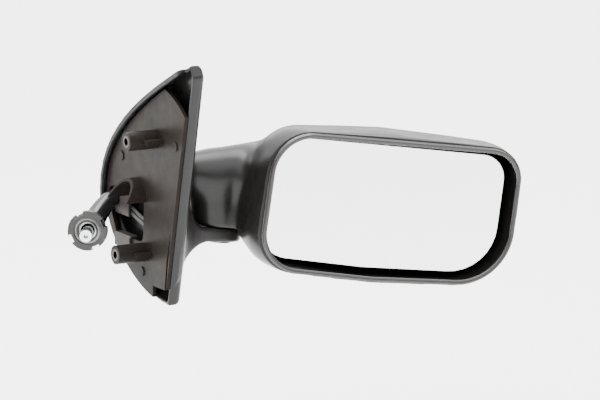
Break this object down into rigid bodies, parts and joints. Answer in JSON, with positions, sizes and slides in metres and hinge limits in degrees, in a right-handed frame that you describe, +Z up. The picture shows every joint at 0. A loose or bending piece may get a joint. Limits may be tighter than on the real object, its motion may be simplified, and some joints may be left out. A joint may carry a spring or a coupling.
{
  "type": "car side mirror",
  "caption": "Fold-away car door mirror: textured shell on a sail base, glass on a cross swivel, and a cable control stub in a ring nut",
  "frame": {"origin": "centre of the mouth of the upper fixing boss, on the door side of the sail base", "axes": "+X outboard (away from the door), +Y to the front of the car, +Z up"},
  "size_m": [0.2912, 0.1523, 0.171],
  "materials": {
    "black_grained": "fine moulded grain, soft satin sheen",
    "plate_black": "moulded, slightly glossy and scuffed",
    "brass": "turned",
    "seal": "foamed",
    "zinc": "zinc plated",
    "black_smooth": "smooth moulded",
    "sheath": "extruded sheath",
    "steel": "turned",
    "dark_steel": "blackened",
    "bracket_grey": "painted sheet",
    "ring_grey": "moulded, worn edges",
    "chrome": "polished",
    "bezel_grey": "satin, warm grey",
    "cast_zinc": "die cast",
    "mirror": "silvered"
  },
  "bodies": {
    "base": {"sail_cover": "black_grained", "base_plate": "plate_black", "boss_inserts": "brass", "door_seal": "seal", "plate_screws": "dark_steel", "cable_bracket": "bracket_grey", "control_elbow": "black_smooth", "control_collar": "zinc", "ball_retainer": "black_smooth", "sheath_stop": "black_smooth", "base_cables": "sheath", "pivot_post": "steel", "post_cap": "black_smooth", "thrust_washer": "black_smooth", "stop_pin": "steel", "post_circlip": "steel"},
    "ring": {"ring_nut": "ring_grey"},
    "stick_gimbal": {"stick_cross": "steel"},
    "stick": {"stick_hub": "black_smooth", "stick_stub": "chrome"},
    "head": {"head_shell": "black_grained", "bezel": "bezel_grey", "head_frame": "cast_zinc", "fold_spring": "steel", "spring_washer": "steel", "frame_screws": "zinc", "cable_anchor": "black_smooth", "head_cables": "sheath"},
    "glass_gimbal": {"glass_cross": "steel"},
    "glass": {"glass_holder": "black_smooth", "glass_pad": "seal", "mirror_glass": "mirror", "cable_nipples": "brass"}
  },
  "joints": [
    {"name": "fold", "type": "hinge", "parent": "base", "child": "head", "pos_m": [0.0741, 0.008, -0.0656], "axis": [0.1305, 0, 0.9914], "range_deg": [-50, 50]},
    {"name": "glass_yaw", "type": "hinge", "parent": "head", "child": "glass_gimbal", "pos_m": [0.17454, -0.02635, -0.05361], "axis": [0.1305, 0, 0.9914], "range_deg": [-5, 5]},
    {"name": "glass_pitch", "type": "hinge", "parent": "glass_gimbal", "child": "glass", "pos_m": [0.17454, -0.02635, -0.05361], "axis": [0.9645, -0.2317, -0.127], "range_deg": [-5.5, 5.5]},
    {"name": "stick_yaw", "type": "hinge", "parent": "base", "child": "stick_gimbal", "pos_m": [-0.00712, 0.0435, -0.06805], "axis": [0.0462, 0.0666, 0.9967], "range_deg": [-9, 9]},
    {"name": "stick_pitch", "type": "hinge", "parent": "stick_gimbal", "child": "stick", "pos_m": [-0.00712, 0.0435, -0.06805], "axis": [0.8217, -0.5699, 0], "range_deg": [-9, 9]},
    {"name": "ring_turn", "type": "hinge", "parent": "base", "child": "ring", "pos_m": [-0.00712, 0.0435, -0.06805], "axis": [-0.568, -0.819, 0.081], "continuous": true}
  ],
  "couplings": [
    {"joint": "stick_yaw", "follows": "glass_yaw", "ratio": 1.5},
    {"joint": "stick_pitch", "follows": "glass_pitch", "ratio": 1.5}
  ]
}
